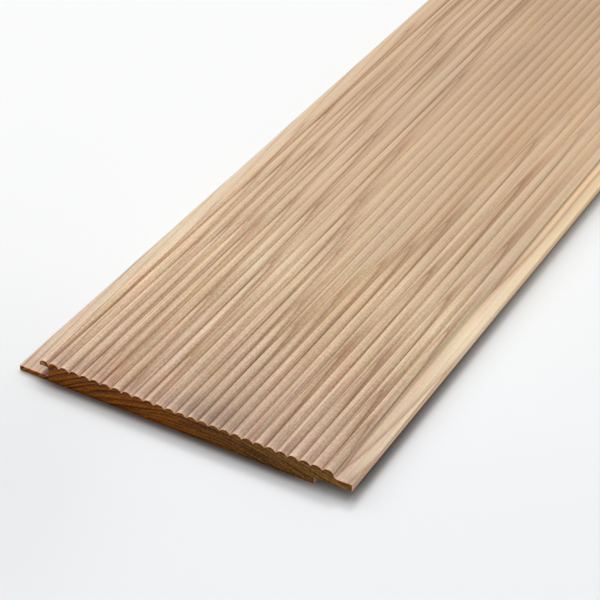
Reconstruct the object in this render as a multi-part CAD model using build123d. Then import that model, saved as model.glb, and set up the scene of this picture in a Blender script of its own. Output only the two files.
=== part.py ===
from build123d import *

import math
import os

# Ribbed wall panelling board: one length of softwood, machined on all sides.
#
# The board lies face up. X runs across the width, from the grooved edge (-X)
# to the tongued edge (+X). Y runs along the grain. Z is up, and the flat back
# is at Z = 0. The origin is the middle of the board's box, on the back.
# All lengths are in millimetres.

# ---- overall ----
LENGTH = 1820.0          # a stock length
THICKNESS = 10.0         # back to rib crest

# ---- ribs on the face, counted across from X = 0 of the section ----
RIB_COUNT = 27
RIB_PITCH = 5.0
RIB_HEIGHT = 1.6         # crest to the cusp between two ribs

# ---- grooved edge: a long lower lip under a short hook, which is rib 1 ----
LIP_TIP = 9.95           # lip's tip, outside X = 0
LIP_THICKNESS = 2.75
LIP_TOP_ROUND = 0.5
LIP_BACK_ROUND = 0.6
HOOK_FACE = 0.4          # hook's outer face, inside X = 0
HOOK_CREST = 3.0         # rib 1 leans inwards: its crest is off the middle
HOOK_UNDERSIDE = 7.0     # slot's ceiling, above the back
HOOK_ROUND = 0.3
SLOT_WALL = 4.6          # slot's inner wall, inside X = 0

# ---- tongued edge ----
FOOT_SPLAY = 0.6         # last rib's flank runs on down and out to its foot
TONGUE_REACH = 7.4       # tongue's tip beyond that foot
TONGUE_TOP = 6.8         # heights above the back
TONGUE_UNDERSIDE = 3.3
TONGUE_TOP_ROUND = 0.4
TONGUE_UNDER_ROUND = 0.9
REBATE_WIDTH = 16.2      # undercut, from the tongue's tip to the body
BACK_ROUND = 0.4         # body's corner at the rebate

# ---- derived ----
FACE_END = RIB_COUNT * RIB_PITCH
FOOT = FACE_END + FOOT_SPLAY
TIP = FOOT + TONGUE_REACH
WIDTH = LIP_TIP + TIP
COVER_WIDTH = TIP - SLOT_WALL    # pitch of boards pushed fully home
CUSP = THICKNESS - RIB_HEIGHT
SHIFT = LIP_TIP - WIDTH / 2      # moves the box's middle to X = 0


def p(x, z):
    """A point of the section, from its place across the face and its height."""
    return (x + SHIFT, z)


def rounded(before, corner, after, radius):
    """Start, middle and end of the arc that rounds off a corner."""
    def unit(a, b):
        d = math.dist(a, b)
        return ((b[0] - a[0]) / d, (b[1] - a[1]) / d)

    u, v = unit(corner, before), unit(corner, after)
    half = math.acos(max(-1.0, min(1.0, u[0] * v[0] + u[1] * v[1]))) / 2
    reach = radius / math.tan(half)
    start = (corner[0] + u[0] * reach, corner[1] + u[1] * reach)
    end = (corner[0] + v[0] * reach, corner[1] + v[1] * reach)
    bisector = (u[0] + v[0], u[1] + v[1])
    n = math.hypot(*bisector)
    away = radius / math.sin(half) - radius
    middle = (
        corner[0] + bisector[0] / n * away,
        corner[1] + bisector[1] / n * away,
    )
    return start, middle, end


# The section's corners from the hook's outer face, anticlockwise through the
# slot, the lip, the back, the rebate and the tongue to the last rib's foot.
# Each is a point and the radius of its rounding, where 0 is a sharp corner.
hook_radius = HOOK_CREST - HOOK_FACE
hook_spring = THICKNESS - hook_radius
corners = [
    (p(HOOK_FACE, hook_spring), 0),
    (p(HOOK_FACE, HOOK_UNDERSIDE), HOOK_ROUND),
    (p(SLOT_WALL, HOOK_UNDERSIDE), 0),
    (p(SLOT_WALL, LIP_THICKNESS), 0),
    (p(-LIP_TIP, LIP_THICKNESS), LIP_TOP_ROUND),
    (p(-LIP_TIP, 0), LIP_BACK_ROUND),
    (p(TIP - REBATE_WIDTH, 0), BACK_ROUND),
    (p(TIP - REBATE_WIDTH, TONGUE_UNDERSIDE), 0),
    (p(TIP, TONGUE_UNDERSIDE), TONGUE_UNDER_ROUND),
    (p(TIP, TONGUE_TOP), TONGUE_TOP_ROUND),
    (p(FOOT, TONGUE_TOP), 0),
    (p(FACE_END, CUSP), 0),
]

with BuildPart() as board:
    with BuildSketch(Plane.XZ.offset(LENGTH / 2)):
        with BuildLine():
            # both edges and the back
            at = corners[0][0]
            for i in range(1, len(corners)):
                corner, radius = corners[i]
                if radius:
                    start, middle, end = rounded(
                        corners[i - 1][0], corner, corners[i + 1][0], radius
                    )
                    Line(at, start)
                    ThreePointArc(start, middle, end)
                    at = end
                else:
                    Line(at, corner)
                    at = corner
            # ribs, from the last back to the second
            for k in range(RIB_COUNT, 1, -1):
                ThreePointArc(
                    p(k * RIB_PITCH, CUSP),
                    p((k - 0.5) * RIB_PITCH, THICKNESS),
                    p((k - 1) * RIB_PITCH, CUSP),
                )
            # rib 1: a tighter inner flank, then a quarter round outside
            run = RIB_PITCH - HOOK_CREST
            inner = (run**2 + RIB_HEIGHT**2) / (2 * RIB_HEIGHT)
            turn = math.asin(run / inner) / 2
            ThreePointArc(
                p(RIB_PITCH, CUSP),
                p(
                    HOOK_CREST + inner * math.sin(turn),
                    THICKNESS - inner * (1 - math.cos(turn)),
                ),
                p(HOOK_CREST, THICKNESS),
            )
            ThreePointArc(
                p(HOOK_CREST, THICKNESS),
                p(
                    HOOK_CREST - hook_radius * math.sin(math.pi / 4),
                    THICKNESS - hook_radius * (1 - math.cos(math.pi / 4)),
                ),
                p(HOOK_FACE, hook_spring),
            )
        make_face()
    extrude(amount=-LENGTH)

os.makedirs("parts", exist_ok=True)
export_step(board.part, "parts/panel_board.step")

box = board.part.bounding_box()
print("size", box.size, "min", box.min, "max", box.max)
print("volume", board.part.volume, "width", WIDTH, "cover width", COVER_WIDTH)
print("section shift", SHIFT, "gap seen between boards", COVER_WIDTH + HOOK_FACE - FOOT)
print("rib radius", (RIB_HEIGHT**2 + (RIB_PITCH / 2) ** 2) / (2 * RIB_HEIGHT))
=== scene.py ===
import math

import bpy
import numpy as np
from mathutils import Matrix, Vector, geometry


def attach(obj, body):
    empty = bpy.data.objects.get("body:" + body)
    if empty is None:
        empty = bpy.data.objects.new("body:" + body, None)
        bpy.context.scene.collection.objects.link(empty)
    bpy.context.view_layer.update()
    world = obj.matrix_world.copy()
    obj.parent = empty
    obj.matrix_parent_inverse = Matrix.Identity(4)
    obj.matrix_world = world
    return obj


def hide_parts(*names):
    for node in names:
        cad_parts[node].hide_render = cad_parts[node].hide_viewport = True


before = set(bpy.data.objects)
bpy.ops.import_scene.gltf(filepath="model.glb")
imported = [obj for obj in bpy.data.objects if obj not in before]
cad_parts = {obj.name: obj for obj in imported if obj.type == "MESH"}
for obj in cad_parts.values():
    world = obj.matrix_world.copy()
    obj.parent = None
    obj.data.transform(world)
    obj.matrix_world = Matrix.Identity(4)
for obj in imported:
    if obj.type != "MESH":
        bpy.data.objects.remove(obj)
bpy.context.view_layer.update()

# ---------------------------------------------------------------------------
# The board's section, in millimetres, as in the CAD source. U is measured
# across the face from the first rib's grid line, W is the height over the back.
# ---------------------------------------------------------------------------
LENGTH = 1820.0
THICKNESS = 10.0
RIB_COUNT, PITCH, RIB_HEIGHT = 27, 5.0, 1.6
LIP_TIP, LIP_THICKNESS, LIP_TOP_ROUND, LIP_BACK_ROUND = 9.95, 2.75, 0.5, 0.6
HOOK_FACE, HOOK_CREST, HOOK_UNDERSIDE, HOOK_ROUND = 0.4, 3.0, 7.0, 0.3
SLOT_WALL = 4.6
FOOT_SPLAY, TONGUE_REACH, TONGUE_TOP, TONGUE_UNDERSIDE = 0.6, 7.4, 6.8, 3.3
TONGUE_TOP_ROUND, TONGUE_UNDER_ROUND = 0.4, 0.9
REBATE_WIDTH, BACK_ROUND = 16.2, 0.4
FACE_END = RIB_COUNT * PITCH
FOOT = FACE_END + FOOT_SPLAY
TIP = FOOT + TONGUE_REACH
SHIFT = LIP_TIP - (LIP_TIP + TIP) / 2
CUSP = THICKNESS - RIB_HEIGHT


def arc(cx, cz, r, a0, a1, n):
    """n + 1 points of an arc, angles in radians from +X towards +Z."""
    return [(cx + r * math.cos(a), cz + r * math.sin(a)) for a in np.linspace(a0, a1, n + 1)]


def rounded(before, corner, after, radius, n):
    """The points of the arc that rounds off a corner."""
    b, c, a = (np.array(v, float) for v in (before, corner, after))
    u, v = (b - c) / np.linalg.norm(b - c), (a - c) / np.linalg.norm(a - c)
    half = math.acos(max(-1.0, min(1.0, float(u @ v)))) / 2
    start, end = c + u * radius / math.tan(half), c + v * radius / math.tan(half)
    bis = (u + v) / np.linalg.norm(u + v)
    mid = c + bis * radius / math.sin(half)
    t0 = math.atan2(*(start - mid)[::-1])
    t1 = math.atan2(*(end - mid)[::-1])
    while t1 - t0 > math.pi:
        t1 -= 2 * math.pi
    while t1 - t0 < -math.pi:
        t1 += 2 * math.pi
    return arc(mid[0], mid[1], radius, t0, t1, n)


def section():
    """The outline as (u, w, sharp), anticlockwise seen from the near end."""
    hook_r = HOOK_CREST - HOOK_FACE
    pts = []

    def add(points, sharp_ends=(False, False)):
        for i, (u, w) in enumerate(points):
            sharp = (i == 0 and sharp_ends[0]) or (i == len(points) - 1 and sharp_ends[1])
            if pts and math.dist(pts[-1][:2], (u, w)) < 1e-6:
                pts[-1] = (u, w, pts[-1][2] or sharp)
            else:
                pts.append((u, w, sharp))

    def line(a, b, step):
        n = max(1, round(math.dist(a, b) / step))
        return [(a[0] + (b[0] - a[0]) * k / n, a[1] + (b[1] - a[1]) * k / n) for k in range(n + 1)]

    c = [
        (HOOK_FACE, THICKNESS - hook_r), (HOOK_FACE, HOOK_UNDERSIDE), (SLOT_WALL, HOOK_UNDERSIDE),
        (SLOT_WALL, LIP_THICKNESS), (-LIP_TIP, LIP_THICKNESS), (-LIP_TIP, 0.0),
        (TIP - REBATE_WIDTH, 0.0), (TIP - REBATE_WIDTH, TONGUE_UNDERSIDE), (TIP, TONGUE_UNDERSIDE),
        (TIP, TONGUE_TOP), (FOOT, TONGUE_TOP), (FACE_END, CUSP),
    ]
    radii = [0, HOOK_ROUND, 0, 0, LIP_TOP_ROUND, LIP_BACK_ROUND, BACK_ROUND, 0,
             TONGUE_UNDER_ROUND, TONGUE_TOP_ROUND, 0, 0]
    steps = [1, 1, 1.5, 1.5, 1.4, 1, 5.0, 1.5, 2.0, 1.5, 1.2, 0.6]
    at = c[0]
    for i in range(1, len(c)):
        if radii[i]:
            bend = rounded(c[i - 1], c[i], c[i + 1], radii[i], 5)
            add(line(at, bend[0], steps[i]))
            add(bend)
            at = bend[-1]
        else:
            add(line(at, c[i], steps[i]), (False, True))
            at = c[i]
    rib_r = (RIB_HEIGHT**2 + (PITCH / 2) ** 2) / (2 * RIB_HEIGHT)
    swing = math.asin(PITCH / 2 / rib_r)
    for k in range(RIB_COUNT, 1, -1):
        add(arc((k - 0.5) * PITCH, THICKNESS - rib_r, rib_r, math.pi / 2 - swing, math.pi / 2 + swing, 12), (True, True))
    run = PITCH - HOOK_CREST
    inner = (run**2 + RIB_HEIGHT**2) / (2 * RIB_HEIGHT)
    add(arc(HOOK_CREST, THICKNESS - inner, inner, math.pi / 2 - math.asin(run / inner), math.pi / 2, 6), (True, False))
    add(arc(HOOK_CREST, THICKNESS - hook_r, hook_r, math.pi / 2, math.pi, 10))
    if math.dist(pts[-1][:2], pts[0][:2]) < 1e-6:
        pts.pop()
    return pts


outline = section()
UW = np.array([p[:2] for p in outline])
SHARP = np.array([p[2] for p in outline])
N = len(UW)

# unit normals of the outline, outward, for the eased ends
edge = np.roll(UW, -1, 0) - UW
edge_n = np.stack([edge[:, 1], -edge[:, 0]], 1) / np.linalg.norm(edge, axis=1)[:, None]
vert_n = edge_n + np.roll(edge_n, 1, 0)
vert_n /= np.linalg.norm(vert_n, axis=1)[:, None]

# ---------------------------------------------------------------------------
# The growth rings. A point's ring depth is its distance out from the pith, on a
# scale with an arbitrary zero: DEPTH(u, v) on the plane of the crests, and less
# by 10 - w below it. v is the distance from the near end. The points below say
# how deep the crest plane lies in the tree at places along the near end of the
# board; a thin plate is bent through them.
# ---------------------------------------------------------------------------
DEPTH_POINTS = np.array([
    (-10.0, 0, 32.49), (-10.0, 150, 25.66), (-10.0, 330, 16.10), (5.0, 330, 9.28), (6.4, 35, 18.27),
    (6.4, 152, 14.29), (6.4, 214, 11.28), (8.0, 40, 17.65), (10.0, 79, 15.35), (11.5, 89, 14.39),
    (11.5, 169, 11.09), (11.5, 250, 8.18), (16.5, 119, 10.94), (16.5, 189, 8.17), (16.5, 275, 6.53),
    (20.0, 10, 12.00), (20.0, 330, 3.44), (21.6, 122, 8.16), (21.6, 197, 6.48), (21.6, 309, 3.79),
    (26.7, 25, 7.92), (26.7, 127, 6.52), (26.7, 219, 3.91), (31.8, 40, 6.47), (31.8, 140, 3.84),
    (31.8, 280, 0.34), (35.0, 5, 5.70), (35.0, 55, 4.98), (35.0, 185, 1.67), (36.9, 67, 3.71),
    (36.9, 202, 0.39), (40.0, 132, 1.74), (41.9, 145, 0.31), (41.9, 329, -2.98), (45.0, 65, 1.81),
    (47.0, 109, -0.02), (47.0, 272, -2.67), (50.0, 10, 1.53), (50.0, 159, -1.33), (50.0, 330, -4.96),
    (52.1, 39, -0.03), (52.1, 199, -2.80), (55.0, 122, -1.35), (57.2, 159, -2.89), (60.0, 3, -1.00), (60.0, 22, -1.02),
    (60.0, 65, -1.07), (60.0, 330, -9.55), (62.3, 137, -2.83), (65.0, 200, -4.65), (67.4, 122, -2.94),
    (68.0, 3, -1.30), (72.5, 89, -3.07), (75.0, 4, -1.35), (75.0, 30, -1.45), (75.0, 250, -6.81), (75.0, 330, -9.10), (77.5, 69, -3.00),
    (82.6, 109, -3.12), (85.0, 200, -7.21), (87.7, 124, -2.98), (83.0, 4, -1.20), (90.0, 4, -1.05), (90.0, 22, -1.15),
    (92.8, 145, -3.09), (95.0, 62, -1.19), (95.0, 330, -8.54), (97.9, 189, -3.34), (100.0, 330, -7.80),
    (101.0, 92, -0.74), (103.0, 65, 0.15), (103.0, 249, -3.00), (105.0, 132, -1.11), (108.1, 129, 0.31),
    (110.0, 5, 2.69), (110.0, 42, 1.72), (113.1, 219, 0.13), (115.0, 119, 1.90), (115.0, 330, -3.19),
    (118.2, 72, 3.66), (118.2, 269, 0.16), (120.0, 12, 5.32), (123.3, 125, 3.55), (128.4, 45, 6.70),
    (128.4, 165, 3.73), (130.0, 250, 3.56), (133.5, 99, 6.65), (135.3, 2, 9.70), (135.0, 20, 8.70),
    (135.3, 132, 6.80), (138.5, 234, 6.80), (143.0, 0, 11.60), (142.7, 72, 9.70), (143.0, 150, 8.50),
    (143.0, 330, 7.20),
])
# ring depths at which one year's dark wood ends and the next year's begins
RING_EDGES = [
    -28.0, -25.1, -22.0, -19.4, -16.2, -13.6, -3.0, 0.12, 3.62,
    6.5, 7.98, 10.75, 13.85, 18.0, 21.0, 23.8, 26.9, 29.6, 32.6,
]
SPAN_U, SPAN_V, KNOWN_V = 14.0, 60.0, 330.0


def plate(u, v, pu, pv):
    r2 = ((u[:, None] - pu[None]) / SPAN_U) ** 2 + ((v[:, None] - pv[None]) / SPAN_V) ** 2
    return 0.5 * r2 * np.log(np.maximum(r2, 1e-12))


def plane(u, v):
    a = (u - 67) / 75
    return np.stack([np.ones_like(u), a, (v - 165) / 165, a * a], 1)


def solve_plate():
    pu, pv, pd = DEPTH_POINTS.T
    n = len(pu)
    k = np.zeros((n + 4, n + 4))
    k[:n, :n] = plate(pu, pv, pu, pv) + 0.02 * np.eye(n)
    k[:n, n:] = plane(pu, pv)
    k[n:, :n] = k[:n, n:].T
    return np.linalg.solve(k, np.concatenate([pd, np.zeros(4)]))


PLATE = solve_plate()


def depth(u, v):
    """Ring depth of the crest plane, in mm."""
    u, v = np.asarray(u, float).ravel(), np.asarray(v, float).ravel()
    vk = np.minimum(v, KNOWN_V)
    d = np.hstack([plate(u, vk, DEPTH_POINTS[:, 0], DEPTH_POINTS[:, 1]), plane(u, vk)]) @ PLATE
    # farther on the trunk runs straighter, with slow swells
    t = np.maximum(v - KNOWN_V, 0.0)
    on = 1 - np.exp(-t / 120)
    d += -0.006 * t + on * (
        0.9 * np.sin(t / 190) + 0.4 * np.sin(t / 71 + 0.8)
        + 0.012 * (u - 70) * np.sin(t / 330) + 0.5 * np.sin(t / 120 + u / 21)
    )
    return d


# ---------------------------------------------------------------------------
# The mesh: the outline swept along the grain, closed by its two ends.
# ---------------------------------------------------------------------------
rng = np.random.default_rng(11)
half = LENGTH / 2
near = -half + np.concatenate([[0.9, 2.2], np.arange(4.5, 430, 4.2)])
mid = np.linspace(near[-1] + 6, half - 8, 118)
rows_y = np.concatenate([near, mid, [half - 4.5, half - 2.0, half - 0.9]])

verts, row_starts = [], []


def smooth_noise(n, passes):
    """Noise round the outline with no seam, from -1 to 1."""
    a = rng.uniform(-1, 1, n)
    for _ in range(passes):
        a = (np.roll(a, 1) + a + np.roll(a, -1)) / 3
    return a / np.abs(a).max()


def push(points, y):
    row_starts.append(len(verts))
    ys = np.broadcast_to(y, (N,))
    for (u, w), yy in zip(points, ys):
        verts.append(((u + SHIFT) / 1000, yy / 1000, w / 1000))


ease = 0.24 + 0.07 * smooth_noise(N, 2)
back = 0.34 + 0.10 * smooth_noise(N, 2)
push(UW - vert_n * ease[:, None], -half)
push(UW, -half + back)
for y in rows_y:
    push(UW, y)
ease2 = 0.24 + 0.07 * smooth_noise(N, 2)
back2 = 0.34 + 0.10 * smooth_noise(N, 2)
push(UW, half - back2)
push(UW - vert_n * ease2[:, None], half)

faces, mat_of = [], []
for a, b in zip(row_starts[:-1], row_starts[1:]):
    for i in range(N):
        j = (i + 1) % N
        faces.append((a + i, b + i, b + j, a + j))
        mat_of.append(0)
n_side = len(faces)


def cap(start, flip):
    ring = [Vector((verts[start + i][0] * 1000, verts[start + i][2] * 1000)) for i in range(N)]
    got = geometry.delaunay_2d_cdt(ring, [], [list(range(N))], 1, 1e-6)
    new_verts, new_faces, origin = got[0], got[2], got[3]
    if len(new_verts) != N:
        raise RuntimeError("the end's outline crosses itself")
    for f in new_faces:
        ids = [start + origin[i][0] for i in f]
        a, b, c = (np.array(verts[i]) for i in ids[:3])
        turn = np.cross(b - a, c - a)[1]
        if (turn < 0) == flip:
            ids.reverse()
        faces.append(tuple(ids))
        mat_of.append(1)


cap(row_starts[0], True)
cap(row_starts[-1], False)

mesh = bpy.data.meshes.new("ribbed_board")
mesh.from_pydata(verts, [], faces)
mesh.update()
board = bpy.data.objects.new("ribbed_board", mesh)
bpy.context.scene.collection.objects.link(board)

mesh.polygons.foreach_set("material_index", mat_of)
mesh.polygons.foreach_set("use_smooth", [True] * len(faces))

# sharp edges: the section's corners along the grain, and the ends' rims
sharp = np.zeros(len(mesh.edges), bool)
ev = np.empty(len(mesh.edges) * 2, np.int32)
mesh.edges.foreach_get("vertices", ev)
ev = ev.reshape(-1, 2)
ia, ib = ev[:, 0] % N, ev[:, 1] % N
ra, rb = ev[:, 0] // N, ev[:, 1] // N
sharp |= (ra != rb) & (ia == ib) & SHARP[ia]
rows = len(row_starts)
for r in (0, 1, rows - 2, rows - 1):
    sharp |= (ra == r) & (rb == r) & (np.abs(ia - ib) % (N - 2) == 1)
mesh.attributes.new("sharp_edge", "BOOLEAN", "EDGE").data.foreach_set("value", sharp)

co = np.empty(len(mesh.vertices) * 3)
mesh.vertices.foreach_get("co", co)
co = co.reshape(-1, 3) * 1000
d = depth(co[:, 0] - SHIFT, co[:, 1] + half)
mesh.attributes.new("ring_depth", "FLOAT", "POINT").data.foreach_set("value", d.astype(np.float32))

# slow changes of colour over the board: (u, v, reach across, reach along,
# lighter, redder, yellower), the last three as natural logs
PATCHES = [
    (67, 106, 200, 24, 0.08, -0.02, 0.0),
    (67, 36, 200, 30, -0.01, 0.01, -0.04),
    (67, -2, 200, 12, -0.18, 0.02, -0.11),
    (34, 6, 12, 13, -0.01, 0.04, 0.03),
    (80, 8, 10, 22, -0.16, 0.02, 0.0),
    (72, 30, 18, 25, -0.06, 0.02, 0.0),
    (4, 130, 9, 120, 0.06, 0.0, 0.0),
    (91, 150, 5, 90, -0.10, 0.05, 0.04),
    (67, 420, 200, 130, -0.11, 0.03, 0.01),
    (131, 100, 6, 14, 0.10, -0.04, 0.0),
    (68, 320, 12, 60, -0.05, 0.01, 0.0),
    (120, 265, 12, 40, 0.06, -0.02, 0.0),
    (42, 100, 9, 12, 0.06, -0.04, -0.02),
    (-7, 140, 5, 110, 0.06, -0.03, -0.03),
    (-7, 0, 5, 3000, 0.05, -0.01, 0.0),
    (141, 0, 4.5, 3000, 0.10, -0.045, 0.05),
    (136.2, 235, 2.2, 80, 0.28, 0.0, 0.0),
    (136.5, 4, 2.5, 20, 0.10, 0.0, 0.0),
    (141, 40, 3.6, 70, -0.09, 0.01, 0.02),
    (105, 60, 28, 26, -0.04, 0.02, 0.02),
    (38, 265, 12, 60, 0.0, -0.03, -0.02),
    (86, 96, 9, 30, 0.0, 0.01, 0.04),
    (-6, 0, 5, 5, -0.06, 0.03, 0.0),
    (20, 315, 14, 26, -0.05, 0.0, 0.0),
    (141, 285, 4.5, 50, 0.07, 0.03, 0.12),
    (8, 45, 14, 40, 0.10, 0.0, 0.0),
    (67, 0, 200, 4, 0.11, 0.0, 0.0),
    (22, 12, 9, 9, 0.10, 0.0, 0.0),
    (52, 14, 12, 10, 0.06, 0.0, 0.0),
    (120, 8, 10, 8, 0.07, 0.0, 0.0),
    (68, 7, 5.5, 9, -0.13, 0.04, -0.03),
    (70, 205, 5, 40, -0.06, 0.0, 0.0),
    (90, 70, 5, 16, -0.06, 0.0, 0.0),
    (80, 150, 5, 35, -0.06, 0.0, 0.0),
    (65, 320, 11, 34, -0.08, 0.0, 0.0),
    (20, 200, 40, 150, 0.0, 0.015, 0.0),
    (67, 60, 200, 40, 0.02, 0.0, 0.0),
    (67, 290, 200, 110, 0.0, 0.025, 0.01),
    (67, 20, 200, 42, 0.0, -0.015, -0.025),
    (-7, 75, 5, 45, -0.07, 0.0, 0.0),
    (-4, 315, 9, 40, -0.04, 0.0, 0.03),
    (92, 300, 26, 40, -0.03, 0.01, 0.0),
    (2, 170, 3, 40, 0.06, 0.0, 0.0),
    (130, 165, 4, 50, -0.08, 0.01, 0.0),
    (120, 190, 4, 60, -0.03, 0.0, 0.0),
    (141, 165, 4, 30, 0.06, 0.0, 0.0),
    (2, 8, 2.5, 10, 0.06, 0.0, 0.0),
    (81, 40, 4, 12, -0.07, 0.0, 0.0),
    (60, 122, 4, 14, -0.06, 0.0, 0.0),
    (80, 122, 4, 14, -0.05, 0.0, 0.0),
    (100, 3, 7, 6, 0.07, 0.0, 0.0),
    (95.8, 225, 1.8, 80, -0.10, 0.04, 0.05),
    (113.6, 205, 1.6, 55, -0.09, 0.04, 0.05),
    (126.5, 230, 1.8, 75, -0.08, 0.05, 0.07),
    (15.5, 95, 1.4, 45, -0.07, 0.02, 0.0),
    (60, 385, 90, 35, -0.20, 0.02, 0.05),
    (55, 372, 3, 25, -0.10, 0.02, 0.05),
    (-7, 90, 5, 60, -0.03, 0.0, 0.0),
    (78, 320, 34, 75, -0.12, 0.02, 0.02),
    (91, 222, 8, 30, -0.05, 0.0, 0.0),
    (120, 322, 6, 30, -0.10, 0.01, 0.0),
    (100, 290, 6, 60, -0.08, 0.01, 0.0),
    (91, 215, 5, 50, -0.06, 0.01, 0.0),
    (50, 45, 5, 30, 0.06, 0.0, 0.0),
    (3, 45, 3.5, 50, 0.12, 0.0, 0.0),
    (75, 5, 16, 7, -0.09, -0.01, 0.0),
    (67, 265, 200, 90, -0.15, 0.02, 0.03),
    (20, 300, 12, 60, -0.05, 0.0, 0.0),
    (-6, 1, 5, 6, -0.10, 0.06, 0.0),
    (141, 1, 5, 4, -0.13, 0.0, 0.0),
    (67, 70, 200, 75, 0.11, -0.025, -0.02),
    (124, 3, 9, 4, 0.08, -0.02, 0.0),
    (30, 50, 7, 60, 0.0, 0.03, 0.05),
    (95, 270, 20, 80, 0.0, 0.03, 0.03),
    (-7, 150, 5, 200, 0.0, -0.045, -0.025),
    (141, 90, 5, 70, 0.03, -0.03, -0.08),
    (110, 14, 35, 14, 0.0, 0.0, -0.05),
    (141, 0, 5, 9, -0.14, 0.06, 0.0),
]
for _ in range(60):
    PATCHES.append((
        rng.uniform(-5, 140), rng.uniform(480, 1820), rng.uniform(8, 40), rng.uniform(40, 160),
        rng.uniform(-0.09, 0.06), rng.uniform(-0.012, 0.014), rng.uniform(-0.015, 0.015),
    ))


# the wood's tone over the board, plus painted shade and light: inside the slot, on the tongue's tip, on the end's rim
# and on the ribs' flanks
def tone_and_painted_light():
    u, v = co[:, 0] - SHIFT, co[:, 1] + half
    logs = np.zeros((len(u), 3))
    for pu, pv, su, sv, lighter, redder, yellower in PATCHES:
        a = np.exp(-(((u - pu) / su) ** 2) - ((v - pv) / sv) ** 2)
        logs += a[:, None] * np.array([lighter + redder, lighter, lighter - yellower])
    # painted shade inside the slot, deeper at its mouth, where the mauve cast is partly a real stain
    low = (co[:, 2] < HOOK_UNDERSIDE + 0.01) & (co[:, 2] > 1.0) & (u < SLOT_WALL + 0.01)
    slot_painted_shade = np.clip((u - 0.6) / 2.6, 0, 1) * low
    logs += slot_painted_shade[:, None] * np.array([-0.62, -0.88, -1.02])
    logs += (slot_painted_shade * np.exp(-((v / 7) ** 2)))[:, None] * np.array([-0.42, -0.84, -0.56])
    # painted light on the tongue's tip face, more and bluer farther on, and on its top rounding
    tip_painted_light = np.clip((u - 142.2) / 0.4, 0, 1) * np.clip((6.7 - co[:, 2]) / 0.3, 0, 1) * (co[:, 2] > 3.2)
    logs += tip_painted_light[:, None] * np.array([0.17, 0.14, 0.14])
    logs += (tip_painted_light * np.clip((v - 40) / 140, 0, 1))[:, None] * np.array([0.06, 0.10, 0.15])
    logs += (np.clip((u - 142.2) / 0.4, 0, 1) * (co[:, 2] > 6.4))[:, None] * np.array([0.08, 0.08, 0.10])
    # painted highlight on the end's eased rim, strongest on the crests
    rim_highlight = np.clip(1.25 - v / 0.9, 0, 1) * (1 - slot_painted_shade)
    high = np.clip((co[:, 2] - 8.8) / 0.8, 0, 1)
    logs += rim_highlight[:, None] * np.array([0.30, 0.17, 0.02]) + (rim_highlight * high)[:, None] * np.array([0.10, 0.16, 0.20])
    # painted light and shade on the flanks of the ribs: crisp near the end, softer and lighter farther on
    turned = (np.mod(u, PITCH) / PITCH - 0.5) * 5 / 2.753
    on_rib = (u > PITCH - 0.01) & (u < FACE_END + 0.01) & (co[:, 2] > CUSP - 0.01)
    close = 1 / (1 + np.exp((v - 95) / 25))
    away = 1 / (1 + np.exp(-(v - 215) / 30))
    left = np.interp(turned, [-0.9, -0.7, -0.5, -0.3, -0.1, 0], [-0.08, -0.06, 0.0, 0.09, 0.03, 0])
    left_away = np.interp(turned, [-0.9, -0.7, -0.5, -0.3, 0], [0.05, 0.03, -0.04, -0.03, 0])
    right_close = np.interp(turned, [0, 0.4, 0.7, 0.9], [0, 0.0, 0.12, 0.14])
    right_mid = np.interp(turned, [0, 0.3, 0.5, 0.7, 0.9], [0, 0.0, 0.045, 0.09, 0.09])
    right_away = np.interp(turned, [0, 0.3, 0.5, 0.7, 0.9], [0, 0.03, 0.09, 0.14, 0.24])
    left_mid = np.interp(turned, [-0.9, -0.7, -0.5, -0.3, 0], [-0.05, -0.08, -0.02, 0, 0])
    gone = 1 / (1 + np.exp((v - 700) / 90))
    flank_painted_light = left * close + left_away * away * gone + right_close * close
    flank_painted_light += right_mid * (1 - close) * (1 - away) + right_away * away * gone
    flank_painted_light += left_mid * (1 - away) / (1 + np.exp(-(v - 60) / 18))
    # farther on, the painted flank shading is stronger in some grooves than in others
    rib = np.floor(u / PITCH)
    uneven = np.sin(rib * 12.9 + v / (38 + 9 * np.sin(rib * 3.1))) * (0.6 + 0.4 * np.sin(rib * 7.7))
    flank_painted_light += 0.055 * uneven * np.clip((np.abs(turned) - 0.25) / 0.4, 0, 1) * (1 - close) * gone
    # light bounced in the grooves reddens them; farther on that redness is painted out, and near the end the grooves
    # are painted a little warmer
    cusp = np.clip((np.abs(turned) - 0.45) / 0.35, 0, 1) * on_rib
    bottom = np.clip((np.abs(turned) - 0.74) / 0.14, 0, 1) * on_rib
    logs += (cusp * (1 - close) * gone)[:, None] * np.array([-0.045, 0.0, -0.01])
    logs += (bottom * (1 - close) * gone)[:, None] * np.array([-0.07, -0.01, 0.06])
    logs += (cusp * close)[:, None] * np.array([0.0, 0.0, -0.04])
    # where the painted light lightens a flank it is also made greyer; painted shade stays neutral
    logs += (flank_painted_light * on_rib)[:, None] * np.where(flank_painted_light > 0, 1.0, 0.0)[:, None] * np.array([0.95, 1.0, 1.15])
    logs += (flank_painted_light * on_rib)[:, None] * np.where(flank_painted_light > 0, 0.0, 1.0)[:, None]
    return np.concatenate([np.exp(logs), np.ones((len(u), 1))], 1).astype(np.float32)


def groove_painted_shading():
    """Painted shade (below 1) and painted light (above 1) on the flanks of the ribs."""
    u, v = co[:, 0] - SHIFT, co[:, 1] + half
    dark = 1 / (1 + np.exp((v - 95) / 22))
    far = 1 / (1 + np.exp(-(v - 520) / 60))
    side = np.mod(u, PITCH) / PITCH
    right = np.where((side > 0.01) & (side < 0.99), np.clip((side - 0.35) / 0.3, 0, 1), 0.5)
    right_painted_light = 1.0 + 0.15 * right
    return (right_painted_light * (1 - dark) * (1 - far) + 0.86 * dark * (1 - far) + 0.97 * far).astype(np.float32)


mesh.attributes.new("tone_and_painted_light", "FLOAT_COLOR", "POINT").data.foreach_set("color", tone_and_painted_light().ravel())
mesh.attributes.new("groove_painted_shading", "FLOAT", "POINT").data.foreach_set("value", groove_painted_shading())


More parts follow.
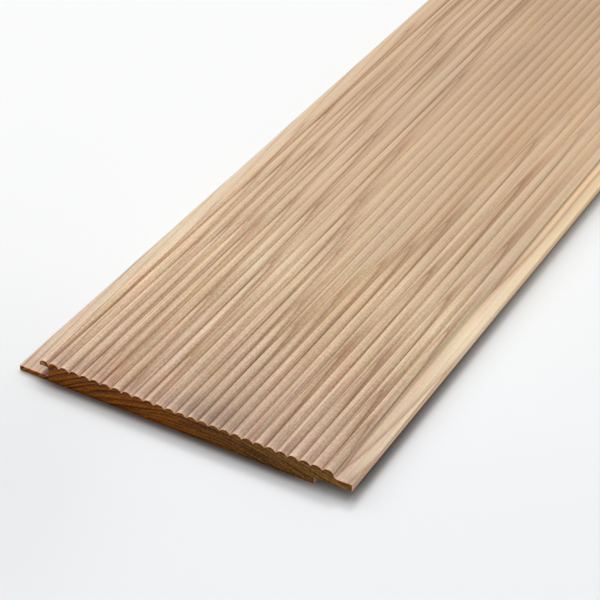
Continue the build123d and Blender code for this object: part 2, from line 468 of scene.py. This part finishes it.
def ring_show():
    """How strongly the years' dark wood shows, from 0 to 1."""
    u, v = co[:, 0] - SHIFT, co[:, 1] + half
    show = 1 - 0.75 * np.exp(-(((u - 111) / 14) ** 2) - ((v - 285) / 48) ** 2)
    show *= 1 - 0.35 * np.exp(-(((u - 72) / 16) ** 2) - ((v - 20) / 30) ** 2)
    show = np.where(u < 0, show * (1 - 0.45 * np.clip((v - 10) / 40, 0, 1) * np.clip((900 - v) / 200, 0, 1)), show)
    return show.astype(np.float32)


mesh.attributes.new("ring_show", "FLOAT", "POINT").data.foreach_set("value", ring_show())


def arris():
    """1 at the corners that hands and packing rub, 0 half a millimetre off."""
    u, w = co[:, 0] - SHIFT, co[:, 2]
    near_one = np.zeros(len(u))
    for cu, cw in ((-LIP_TIP, LIP_THICKNESS), (-LIP_TIP, 0), (TIP, TONGUE_TOP), (TIP, TONGUE_UNDERSIDE),
                   (TIP - REBATE_WIDTH, 0), (HOOK_FACE, HOOK_UNDERSIDE)):
        near_one = np.maximum(near_one, np.exp(-(((u - cu) ** 2 + (w - cw) ** 2) / 0.6)))
    return near_one.astype(np.float32)


mesh.attributes.new("arris", "FLOAT", "POINT").data.foreach_set("value", arris())

# one UV map: length against the way round, with the ends in a strip of their own
around = np.concatenate([[0], np.cumsum(np.linalg.norm(np.roll(UW, -1, 0) - UW, axis=1))])
around /= around[-1]
uv = mesh.uv_layers.new(name="OFBake")
loops_v = np.empty(len(mesh.loops), np.int32)
mesh.loops.foreach_get("vertex_index", loops_v)
uvs = np.empty((len(mesh.loops), 2))
li = 0
for fi, f in enumerate(faces):
    for k, vi in enumerate(f):
        if fi < n_side:
            i = vi % N
            # the strip's last quad ends at 1, not back at 0
            last = (f[3] % N) == 0 and i == 0
            t = 1.0 if last else around[i]
            uvs[li] = (0.003 + 0.994 * (co[vi, 1] + half) / LENGTH, 0.003 + 0.909 * t)
        else:
            at_near = co[vi, 1] < 0
            u0 = 0.01 if at_near else 0.51
            uvs[li] = (
                u0 + 0.48 * (co[vi, 0] - SHIFT + LIP_TIP) / (LIP_TIP + TIP),
                0.93 + 0.06 * co[vi, 2] / THICKNESS,
            )
        li += 1
uv.data.foreach_set("uv", uvs.ravel())

# ---------------------------------------------------------------------------
# Materials
# ---------------------------------------------------------------------------


def lin(r, g, b):
    """sRGB 0-255 to linear, with alpha."""
    def f(c):
        c /= 255
        return c / 12.92 if c <= 0.04045 else ((c + 0.055) / 1.055) ** 2.4
    return (f(r), f(g), f(b), 1.0)


class Tree:
    """Short calls for building a node tree."""

    def __init__(self, tree):
        self.t = tree

    def add(self, kind, **props):
        n = self.t.nodes.new(kind)
        for k, v in props.items():
            setattr(n, k, v)
        return n

    def put(self, socket, value):
        if isinstance(value, bpy.types.NodeSocket):
            self.t.links.new(value, socket)
        else:
            socket.default_value = value

    def math(self, op, a, b=None, c=None, clamp=False):
        n = self.add("ShaderNodeMath", operation=op, use_clamp=clamp)
        for i, v in enumerate((a, b, c)):
            if v is not None:
                self.put(n.inputs[i], v)
        return n.outputs[0]

    def vec(self, op, a, b=None):
        n = self.add("ShaderNodeVectorMath", operation=op)
        self.put(n.inputs[0], a)
        if b is not None:
            self.put(n.inputs[1], b)
        return n.outputs[0]

    def mix(self, fac, a, b, blend="MIX", clamp=True):
        n = self.add("ShaderNodeMix", data_type="RGBA", blend_type=blend, clamp_factor=clamp)
        self.put(n.inputs[0], fac)
        self.put(n.inputs[6], a)
        self.put(n.inputs[7], b)
        return n.outputs[2]

    def noise(self, vector, scale, detail=2.0, rough=0.5, lac=2.0, distortion=0.0, dims="3D", out="Fac"):
        n = self.add("ShaderNodeTexNoise", noise_dimensions=dims)
        self.put(n.inputs["Vector"], vector)
        self.put(n.inputs["Scale"], scale)
        self.put(n.inputs["Detail"], detail)
        self.put(n.inputs["Roughness"], rough)
        self.put(n.inputs["Lacunarity"], lac)
        self.put(n.inputs["Distortion"], distortion)
        return n.outputs[out]

    def range(self, value, a, b, c=0.0, d=1.0, smooth=True):
        n = self.add("ShaderNodeMapRange", interpolation_type="SMOOTHSTEP" if smooth else "LINEAR")
        self.put(n.inputs[0], value)
        for i, v in enumerate((a, b, c, d)):
            self.put(n.inputs[1 + i], v)
        return n.outputs[0]

    def ramp(self, fac, stops, mode="LINEAR"):
        n = self.add("ShaderNodeValToRGB")
        n.color_ramp.interpolation = mode
        el = n.color_ramp.elements
        while len(el) > 1:
            el.remove(el[-1])
        el[0].position, el[0].color = stops[0]
        for p, c in stops[1:]:
            e = el.new(p)
            e.color = c
        self.put(n.inputs[0], fac)
        return n.outputs[0]


def wood(name, end_grain):
    mat = bpy.data.materials.new(name)
    mat.use_nodes = True
    mat.node_tree.nodes.clear()
    t = Tree(mat.node_tree)
    out = t.add("ShaderNodeOutputMaterial")
    bsdf = t.add("ShaderNodeBsdfPrincipled")
    t.put(out.inputs[0], bsdf.outputs[0])

    tc = t.add("ShaderNodeTexCoord")
    P = t.vec("MULTIPLY", tc.outputs["Object"], (1000.0, 1000.0, 1000.0))
    sep = t.add("ShaderNodeSeparateXYZ")
    t.put(sep.inputs[0], P)
    x, y, z = sep.outputs

    # ring depth, with a slow wander and a ragged edge along the fibres
    at = t.add("ShaderNodeAttribute", attribute_name="ring_depth")
    rho = t.math("SUBTRACT", t.math("ADD", at.outputs["Fac"], z), THICKNESS)
    slow = t.noise(t.vec("MULTIPLY", P, (0.07, 0.012, 0.07)), 1.0, 2.0)
    rag = t.noise(t.vec("MULTIPLY", P, (2.2, 0.07, 2.2)), 1.0, 3.0, 0.6)
    rho = t.math("MULTIPLY_ADD", t.math("SUBTRACT", slow, 0.5), 0.25, rho)
    rho = t.math("MULTIPLY_ADD", t.math("SUBTRACT", rag, 0.5), 0.22, rho)

    # years: whole numbers at the ring edges, the dark wood from 0.6 on
    lo_r, hi_r = RING_EDGES[0], RING_EDGES[-1]
    curve = t.add("ShaderNodeFloatCurve")
    c = curve.mapping.curves[0]
    pts = []
    for i, (a, b) in enumerate(zip(RING_EDGES[:-1], RING_EDGES[1:])):
        pts.append((a, i))
        pts.append((b - min(0.95, 0.4 * (b - a)), i + 0.6))
    pts.append((hi_r, len(RING_EDGES) - 1))
    pts = [((a - lo_r) / (hi_r - lo_r), n / len(RING_EDGES)) for a, n in pts]
    c.points[0].location = pts[0]
    c.points[1].location = pts[-1]
    for p in pts[1:-1]:
        c.points.new(*p)
    for p in c.points:
        p.handle_type = "VECTOR"
    curve.mapping.extend = "EXTRAPOLATED"
    curve.mapping.update()
    t.put(curve.inputs["Value"], t.math("DIVIDE", t.math("SUBTRACT", rho, lo_r), hi_r - lo_r))
    years = t.math("MULTIPLY", curve.outputs[0], float(len(RING_EDGES)))
    year = t.math("FLOOR", years)
    phase = t.math("SUBTRACT", years, year)
    if end_grain:
        late = t.range(phase, 0.22, 0.78)
        late = t.math("MULTIPLY", late, t.range(phase, 0.965, 1.0, 1.0, 0.0))
    else:
        late = t.math("POWER", t.range(phase, 0.56, 0.99, 0.0, 1.0, False), 2.3)
        late = t.math("MULTIPLY", late, t.range(phase, 0.985, 1.0, 1.0, 0.4))
        late = t.math("MAXIMUM", late, t.range(phase, 0.0, 0.16, 0.4, 0.0))
    wn = t.add("ShaderNodeTexWhiteNoise", noise_dimensions="1D")
    t.put(wn.inputs["W"], year)
    strength = t.range(wn.outputs["Value"], 0.0, 1.0, 0.75, 1.0, False) if end_grain else t.range(wn.outputs["Value"], 0.0, 1.0, 0.66, 0.92, False)
    late = t.math("MULTIPLY", late, strength)
    if not end_grain:
        late = t.math("MULTIPLY", late, t.add("ShaderNodeAttribute", attribute_name="ring_show").outputs["Fac"])

    if end_grain:
        # the end grain's own dark colours, darkened further as painted shade on the end face
        light, dark = (0.45, 0.149, 0.0135, 1), (0.112, 0.032, 0.0045, 1)
        # fine lines between the years
        comb = t.add("ShaderNodeCombineXYZ")
        t.put(comb.inputs[0], t.math("MULTIPLY", rho, 1.3))
        t.put(comb.inputs[1], t.math("MULTIPLY", x, 0.05))
        lines = t.noise(comb.outputs[0], 1.0, 3.0, 0.65)
        late = t.math("ADD", t.math("MULTIPLY", late, t.range(x, 10.0, 45.0, 0.66, 0.32)), t.range(lines, 0.41, 0.57, 0.0, 0.58))
        # darker between the middle and the tongued edge
        dip = t.math("SUBTRACT", t.range(x, -10.0, 25.0, -0.05, 0.02), t.range(x, 32.0, 66.0, 0.0, 0.20))
        high = t.range(z, 3.0, 6.5)
        dip = t.math("ADD", dip, t.math("MULTIPLY", t.math("SUBTRACT", 1.0, high), t.range(x, -13.0, 5.0, -0.05, 0.21)))
        lean = t.math("ADD", t.range(x, 34.0, 48.0, 0.0, 0.16), t.range(x, 14.0, 24.0, -0.05, 0.02))
        lean = t.math("ADD", lean, t.math("ADD", t.range(x, -14.0, -2.0, 0.05, 0.0), t.range(x, -42.0, -36.0, 0.04, 0.0)))
        dip = t.math("ADD", dip, t.math("MULTIPLY", high, lean))
        late = t.math("ADD", late, dip)
        # a dark arc under the rim of every rib
        across = t.math("FRACT", t.math("DIVIDE", t.math("SUBTRACT", x, SHIFT), PITCH))
        bow = t.math("MULTIPLY_ADD", across, 2.0, -1.0)
        bow = t.math("SUBTRACT", THICKNESS, t.math("MULTIPLY", t.math("MULTIPLY", bow, bow), RIB_HEIGHT))
        under = t.math("SUBTRACT", bow, z)
        late = t.math("ADD", late, t.range(under, 0.2, 1.2, 0.36, 0.0))
        late = t.math("MINIMUM", t.math("MAXIMUM", late, 0.0), 1.0)
    else:
        light, dark = (0.784, 0.604, 0.430, 1), (0.40, 0.212, 0.112, 1)
    col = t.mix(late, light, dark)
    # each year's early wood differs a little
    col = t.mix(t.range(wn.outputs["Value"], 0.0, 1.0, 0.0, 0.10, False), col,
                t.mix(1.0, col, (0.80, 0.74, 0.70, 1), "MULTIPLY"))

    if not end_grain:
        gain = t.add("ShaderNodeAttribute", attribute_name="tone_and_painted_light").outputs["Color"]
        col = t.mix(1.0, col, gain, "MULTIPLY", False)
        # painted shade near the end and painted light farther on, on the ribs' flanks, fading out towards the crests
        gg = t.add("ShaderNodeAttribute", attribute_name="groove_painted_shading").outputs["Fac"]
        groove = t.math("MULTIPLY", t.range(z, 8.7, 9.8, 1.0, 0.0, False), t.range(z, 8.2, 8.35))
        gg = t.math("MULTIPLY_ADD", t.math("SUBTRACT", gg, 1.0), groove, 1.0)
        scale = t.add("ShaderNodeVectorMath", operation="SCALE")
        t.put(scale.inputs[0], col)
        t.put(scale.inputs["Scale"], gg)
        col = scale.outputs[0]
        # streaks along the fibres: broad mauve ones, orange ones, and fine dark
        # lines, crisper near the end
        close = t.range(y, -900.0, -640.0, 1.0, 0.0)
        calm = t.math("MULTIPLY", t.range(x, 67.8, 69.0, 1.0, 0.45), t.range(x, -67.2, -66.2, 0.6, 1.0))
        coarse = t.noise(t.vec("MULTIPLY", P, (0.55, 0.006, 0.55)), 1.0, 3.0, 0.6)
        warm = t.noise(t.vec("MULTIPLY", P, (0.8, 0.012, 0.8)), 1.0, 2.0, 0.5)
        fine = t.noise(t.vec("MULTIPLY", P, (1.7, 0.018, 1.7)), 1.0, 4.0, 0.7)
        speck = t.noise(t.vec("MULTIPLY", P, (1.3, 0.75, 1.3)), 1.0, 2.0, 0.75)
        tint = t.noise(t.vec("MULTIPLY", P, (0.30, 0.035, 0.30)), 1.0, 2.0, 0.6)
        col = t.mix(t.range(coarse, 0.38, 0.66, 0.0, 0.22, False), col, t.mix(1.0, col, (0.74, 0.67, 0.635, 1), "MULTIPLY"))
        col = t.mix(t.range(warm, 0.48, 0.68, 0.0, 0.30, False), col, t.mix(1.0, col, (1.02, 0.90, 0.72, 1), "MULTIPLY"))
        fine_f = t.math("MULTIPLY", t.range(fine, 0.36, 0.64, 0.0, 1.0, False), t.math("MULTIPLY_ADD", close, 0.60, 0.34))
        fine_f = t.math("MULTIPLY", fine_f, calm)
        col = t.mix(fine_f, col, t.mix(1.0, col, (0.62, 0.545, 0.475, 1), "MULTIPLY"))
        speck_f = t.math("MULTIPLY", t.range(speck, 0.35, 0.65, 0.0, 1.0, False), t.math("MULTIPLY_ADD", close, 0.58, 0.26))
        speck_f = t.math("MULTIPLY", speck_f, calm)
        col = t.mix(speck_f, col, t.mix(1.0, col, (0.71, 0.665, 0.60, 1), "MULTIPLY"))
        # some fibres are pinker, some yellower
        tint_f = t.math("MULTIPLY_ADD", close, 0.55, 0.45)
        col = t.mix(t.math("MULTIPLY", t.range(tint, 0.50, 0.64, 0.0, 1.0, False), tint_f), col, t.mix(1.0, col, (1.03, 0.96, 0.95, 1), "MULTIPLY", False))
        col = t.mix(t.math("MULTIPLY", t.range(tint, 0.50, 0.36, 0.0, 1.0, False), tint_f), col, t.mix(1.0, col, (1.01, 1.01, 0.93, 1), "MULTIPLY", False))
        # handled corners are paler, in patches
        rubbed = t.add("ShaderNodeAttribute", attribute_name="arris").outputs["Fac"]
        blotch = t.noise(t.vec("MULTIPLY", P, (0.35, 0.06, 0.35)), 1.0, 3.0, 0.6)
        rubbed = t.math("MULTIPLY", rubbed, t.range(blotch, 0.38, 0.62, 0.15, 1.0))
        col = t.mix(rubbed, col, t.mix(1.0, col, (1.13, 1.11, 1.08, 1), "MULTIPLY", False))

        # relief: raised dark wood, fibres, and the planer's faint cross marks
        cuts = t.noise(t.vec("MULTIPLY", P, (0.05, 0.9, 0.05)), 1.0, 2.0, 0.5)
        tear = t.noise(t.vec("MULTIPLY", P, (0.9, 0.25, 0.9)), 1.0, 3.0, 0.65)
        height = t.math("MULTIPLY", late, 0.020)
        height = t.math("MULTIPLY_ADD", fine, 0.050, height)
        height = t.math("MULTIPLY_ADD", speck, 0.030, height)
        height = t.math("MULTIPLY_ADD", cuts, 0.030, height)
        height = t.math("MULTIPLY_ADD", tear, 0.045, height)
        rough = t.math("MULTIPLY_ADD", late, -0.10, 0.60)
        rough = t.math("ADD", rough, t.range(fine, 0.3, 0.7, -0.07, 0.09, False))
        rough = t.math("ADD", rough, t.range(tear, 0.35, 0.65, -0.05, 0.06, False))
        rough = t.math("MULTIPLY_ADD", rubbed, -0.12, rough)
    else:
        # pores and sawn fibre ends
        pores = t.noise(t.vec("MULTIPLY", P, (0.95, 1.0, 1.2)), 1.0, 3.0, 0.8)
        nap = t.noise(t.vec("MULTIPLY", P, (0.5, 1.0, 0.7)), 1.0, 2.0, 0.6)
        col = t.mix(t.range(pores, 0.40, 0.60, 0.0, 0.82, False), col, t.mix(1.0, col, (0.40, 0.33, 0.24, 1), "MULTIPLY"))
        col = t.mix(t.range(nap, 0.50, 0.62, 0.0, 0.9, False), col, t.mix(1.0, col, (1.38, 1.16, 0.72, 1), "MULTIPLY", False))
        # greyer towards the tongued edge
        col = t.mix(t.range(x, -18.0, 46.0, 0.0, 1.0), col, t.mix(1.0, col, (0.93, 1.40, 3.5, 1), "MULTIPLY", False))
        # painted shade along the end's lowest edge, next to the floor
        col = t.mix(t.range(z, 0.1, 2.2, 0.26, 0.0), col, t.mix(1.0, col, (0.30, 0.30, 0.33, 1), "MULTIPLY"))
        # the hook's end is bruised pale in its middle
        hx, hz = t.math("SUBTRACT", x, SHIFT + 2.5), t.math("SUBTRACT", z, 8.1)
        off = t.math("SQRT", t.math("ADD", t.math("MULTIPLY", hx, hx), t.math("MULTIPLY", t.math("MULTIPLY", hz, hz), 2.2)))
        bruise = t.math("MULTIPLY", t.range(off, 0.35, 1.5, 1.0, 0.0), t.range(y, -900.0, -880.0, 0.62, 0.0))
        col = t.mix(bruise, col, t.mix(t.range(nap, 0.3, 0.7), (0.46, 0.25, 0.15, 1), (0.62, 0.40, 0.27, 1)))
        height = t.math("MULTIPLY", late, 0.05)
        height = t.math("MULTIPLY_ADD", pores, -0.16, height)
        height = t.math("MULTIPLY_ADD", nap, 0.06, height)
        rough = t.range(pores, 0.35, 0.65, 0.62, 0.80, False)
    bump = t.add("ShaderNodeBump")
    bump.inputs["Strength"].default_value = 0.7
    bump.inputs["Distance"].default_value = 0.001
    t.put(bump.inputs["Height"], height)
    t.put(bsdf.inputs["Normal"], bump.outputs[0])
    t.put(bsdf.inputs["Roughness"], rough)
    t.put(bsdf.inputs["Base Color"], col)
    bsdf.inputs["Specular IOR Level"].default_value = 0.12 if end_grain else 0.3
    return mat


mesh.materials.append(wood("planed_softwood_face", False))
mesh.materials.append(wood("planed_softwood_end", True))

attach(board, "root")
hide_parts("panel_board")

# ---------------------------------------------------------------------------
# Floor, light and camera
# ---------------------------------------------------------------------------
fm = bpy.data.meshes.new("floor")
fm.from_pydata([(-40, -40, 0), (40, -40, 0), (40, 40, 0), (-40, 40, 0)], [], [(0, 1, 2, 3)])
floor = bpy.data.objects.new("floor", fm)
bpy.context.scene.collection.objects.link(floor)
fmat = bpy.data.materials.new("pale_floor")
fmat.use_nodes = True
fb = fmat.node_tree.nodes["Principled BSDF"]
ft = Tree(fmat.node_tree)
fpos = ft.add("ShaderNodeSeparateXYZ")
ft.put(fpos.inputs[0], ft.add("ShaderNodeTexCoord").outputs["Object"])
# painted light on the sheet: lighter towards the back left, with a faint mottle
way = ft.math("SUBTRACT", fpos.outputs[1], ft.math("MULTIPLY", fpos.outputs[0], 0.55))
painted_falloff_and_mottle = ft.range(way, -0.97, -0.76)
mottle = ft.noise(ft.add("ShaderNodeTexCoord").outputs["Object"], 9.0, 3.0, 0.5)
painted_falloff_and_mottle = ft.math("MULTIPLY_ADD", ft.math("SUBTRACT", mottle, 0.5), 0.18, painted_falloff_and_mottle)
sheet = ft.mix(painted_falloff_and_mottle, (0.762, 0.771, 0.789, 1), (0.872, 0.882, 0.876, 1))
# painted contact shadow on the sheet, close to the near end and beside and under the tongued edge
off_end = ft.math("MAXIMUM", ft.math("SUBTRACT", -half / 1000, fpos.outputs[1]), 0.0)
off_side = ft.math("MAXIMUM", ft.math("SUBTRACT", fpos.outputs[0], 0.0765), 0.0)
gap = ft.math("SQRT", ft.math("ADD", ft.math("MULTIPLY", off_end, off_end), ft.math("MULTIPLY", ft.math("MULTIPLY", off_side, off_side), 1.6)))
ahead = ft.math("ADD", ft.range(gap, 0.0008, 0.0046, 0.37, 0.0), ft.range(gap, 0.0, 0.0085, 0.46, 0.0, False))
beside = ft.math("ADD", ft.range(gap, 0.0003, 0.0042, 0.45, 0.0), ft.range(gap, 0.0, 0.0065, 0.20, 0.0, False))
beside = ft.math("MULTIPLY", beside, ft.range(fpos.outputs[1], -0.914, -0.896, 0.6, 1.0))
in_front = ft.range(ft.math("DIVIDE", ft.math("ADD", off_end, 0.00001), ft.math("ADD", gap, 0.00001)), 0.0, 0.9)
in_front = ft.math("MULTIPLY", in_front, ft.range(fpos.outputs[1], -0.9098, -0.9082, 1.0, 0.0))
under_tongue = ft.range(fpos.outputs[0], 0.044, 0.070, 0.46, -0.16)
ahead = ft.math("MULTIPLY", ahead, ft.math("ADD", under_tongue, 0.54))
painted_contact_shadow = ft.math("MULTIPLY_ADD", in_front, ft.math("SUBTRACT", ahead, beside), beside)
painted_contact_shadow = ft.math("MULTIPLY", painted_contact_shadow, ft.range(fpos.outputs[1], 0.86, 0.90, 1.0, 0.0))
painted_contact_shadow = ft.math("MULTIPLY", painted_contact_shadow, ft.range(fpos.outputs[0], -0.078, -0.056))
painted_contact_shadow = ft.math("MULTIPLY", painted_contact_shadow, ft.range(fpos.outputs[1], -0.89, -0.72, 1.0, 0.52, False))
# the painted shadow's dark warm colour; where it lies the floor's reflection is dimmed too
ft.put(fb.inputs["Base Color"], ft.mix(painted_contact_shadow, sheet, (0.062, 0.040, 0.026, 1)))
fb.inputs["Roughness"].default_value = 0.2
ft.put(fb.inputs["Specular IOR Level"], ft.range(painted_contact_shadow, 0.04, 0.44, 0.5, 0.03))
fm.materials.append(fmat)


def area(name, place, target, size, power, colour=(1, 1, 1)):
    lamp = bpy.data.lights.new(name, "AREA")
    lamp.shape = "RECTANGLE"
    lamp.size, lamp.size_y = size
    lamp.energy = power
    lamp.color = colour
    o = bpy.data.objects.new(name, lamp)
    bpy.context.scene.collection.objects.link(o)
    o.location = place
    o.rotation_euler = (Vector(target) - Vector(place)).to_track_quat("-Z", "Y").to_euler()
    return o


area("key", (-1.9, -0.3, 1.6), (0.0, -0.75, 0.0), (1.6, 1.6), 20)
area("top", (-0.15, 0.35, 2.3), (0.0, -0.7, 0.0), (2.4, 2.4), 39)

world = bpy.data.worlds.new("studio")
bpy.context.scene.world = world
world.use_nodes = True
world.node_tree.nodes["Background"].inputs[0].default_value = (1.0, 1.0, 1.0, 1)
world.node_tree.nodes["Background"].inputs[1].default_value = 0.50

cam_data = bpy.data.cameras.new("camera")
cam_data.lens = 113.78
cam_data.sensor_width = 36.0
cam_data.clip_start, cam_data.clip_end = 0.05, 50
cam = bpy.data.objects.new("camera", cam_data)
bpy.context.scene.collection.objects.link(cam)
cam.location = (0.3208, -1.3709, 0.4778)
cam.rotation_euler = (math.radians(53.483), 0.0, math.radians(30.058))
bpy.context.scene.camera = cam

bpy.context.scene.view_settings.view_transform = "Standard"
bpy.context.scene.view_settings.look = "None"

print("triangles", sum(len(p) - 2 for p in faces), "outline", N)
